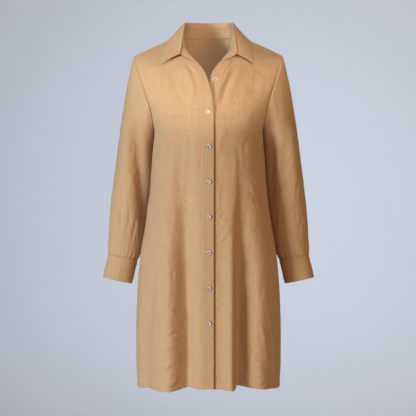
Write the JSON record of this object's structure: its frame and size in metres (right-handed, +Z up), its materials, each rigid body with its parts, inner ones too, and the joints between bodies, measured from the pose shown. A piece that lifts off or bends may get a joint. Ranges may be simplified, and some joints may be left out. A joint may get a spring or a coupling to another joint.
{
  "type": "shirt dress",
  "caption": "Long-sleeved linen shirt dress with a turned-down collar, buttoned front and banded cuffs, filled out as worn and empty inside.",
  "frame": {"origin": "middle of the neck, level with the points where the shoulder seams meet the neck seam", "axes": "+Z up along the wearer, -Y is the front with the buttons, +X is to the right of someone who faces the front"},
  "size_m": [0.5722, 0.2755, 0.9881],
  "materials": {
    "linen": "matte woven",
    "button": "polished with a matte dish"
  },
  "bodies": {
    "root": {"back": "linen", "front_left": "linen", "front_right": "linen", "band_left": "linen", "band_right": "linen", "sleeve_left": "linen", "sleeve_right": "linen", "cuff_left": "linen", "cuff_right": "linen", "collar_stand": "linen", "collar_leaf": "linen", "button_1": "button", "button_2": "button", "button_3": "button", "button_4": "button", "button_5": "button", "button_6": "button", "button_7": "button", "button_8": "button", "button_stand": "button", "button_cuff_left": "button", "button_cuff_right": "button"}
  },
  "joints": []
}
